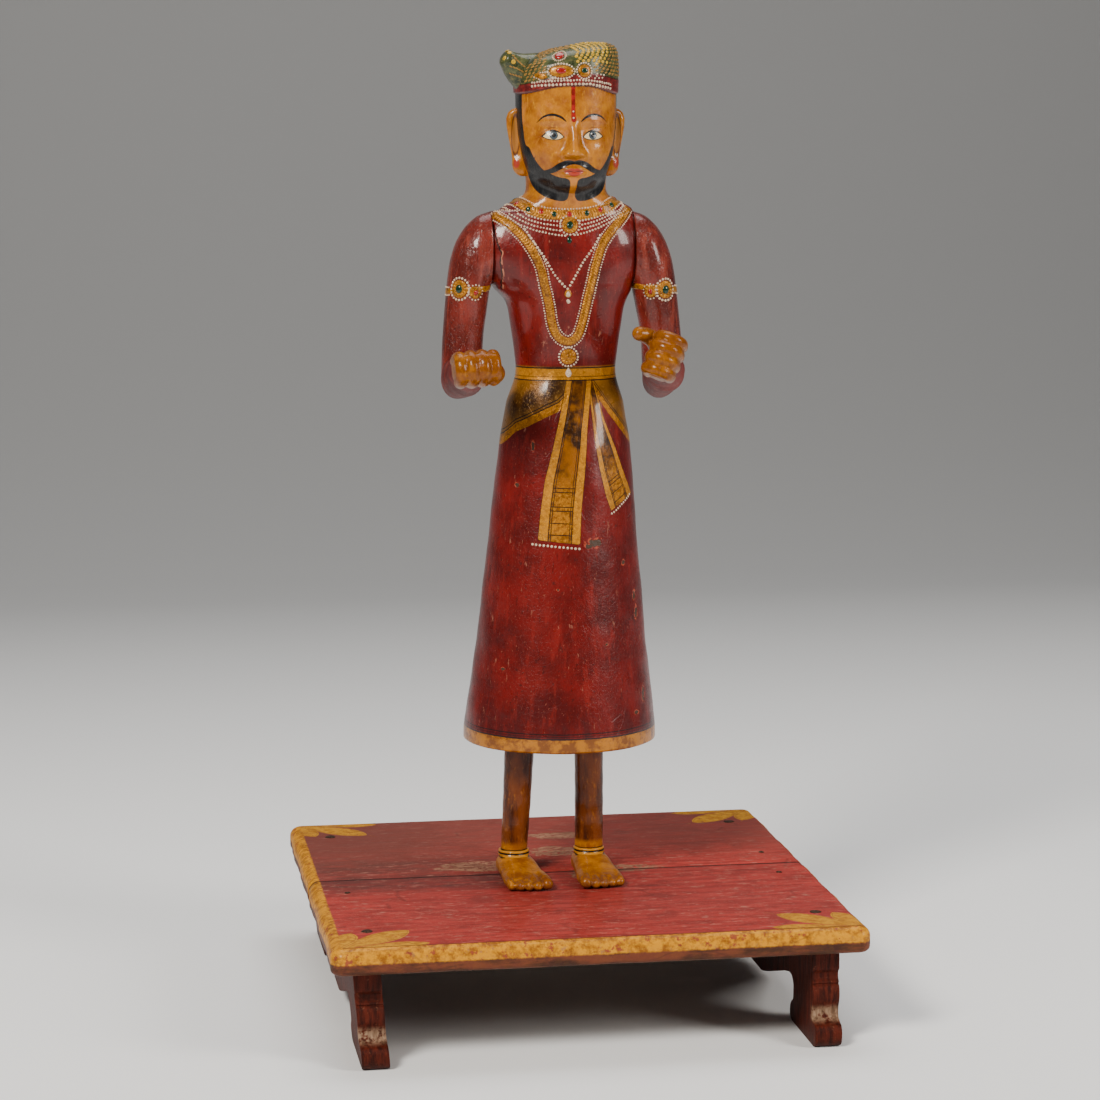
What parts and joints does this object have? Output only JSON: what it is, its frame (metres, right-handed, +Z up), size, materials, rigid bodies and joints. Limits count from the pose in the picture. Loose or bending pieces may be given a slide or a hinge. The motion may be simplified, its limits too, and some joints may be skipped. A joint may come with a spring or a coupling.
{
  "type": "standing painted wooden festival figure on a bench",
  "caption": "Painted wooden standing figure in a turban and long robe, its arms pinned at the shoulders, its feet pegged to a low nailed bench that stands it on a floor or shelf",
  "frame": {"origin": "on the floor, under the middle of the bench", "axes": "+Z up, the figure faces -Y, +X is the figure's left-hand side"},
  "size_m": [0.45, 0.446, 0.8295],
  "materials": {
    "robe_and_head": "gloss lacquer over gesso",
    "sleeve": "gloss lacquer over gesso",
    "sleeve_and_hand": "gloss lacquer over gesso",
    "painted_skin": "gloss lacquer over gesso",
    "bare_wood": "bare",
    "bench_paint": "worn paint",
    "end_board_paint": "worn paint",
    "iron": "rusted"
  },
  "bodies": {
    "figure_and_bench": {"trunk": "robe_and_head", "shoulder_peg_right": "bare_wood", "shoulder_peg_left": "bare_wood", "leg_right": "painted_skin", "leg_left": "painted_skin", "foot_right": "painted_skin", "foot_left": "painted_skin", "foot_peg_right": "bare_wood", "foot_peg_left": "bare_wood", "plank_front": "bench_paint", "plank_back": "bench_paint", "plank_dowel_right": "bare_wood", "plank_dowel_left": "bare_wood", "end_board_right": "end_board_paint", "end_board_left": "end_board_paint", "nail_front_right": "iron", "nail_front_left": "iron", "nail_back_right": "iron", "nail_back_left": "iron", "small_nail_front_right": "iron", "small_nail_front_left": "iron", "small_nail_back_left": "iron"},
    "arm_right": {"upper_arm_right": "sleeve", "elbow_peg_right": "bare_wood", "forearm_right": "sleeve_and_hand"},
    "arm_left": {"upper_arm_left": "sleeve", "elbow_peg_left": "bare_wood", "forearm_left": "sleeve_and_hand"}
  },
  "joints": [
    {"name": "shoulder_right", "type": "hinge", "parent": "figure_and_bench", "child": "arm_right", "pos_m": [-0.0624, 0, 0.66], "axis": [-1, 0, 0], "range_deg": [-20, 90]},
    {"name": "shoulder_left", "type": "hinge", "parent": "figure_and_bench", "child": "arm_left", "pos_m": [0.0624, 0, 0.66], "axis": [-1, 0, 0], "range_deg": [-20, 90]}
  ]
}
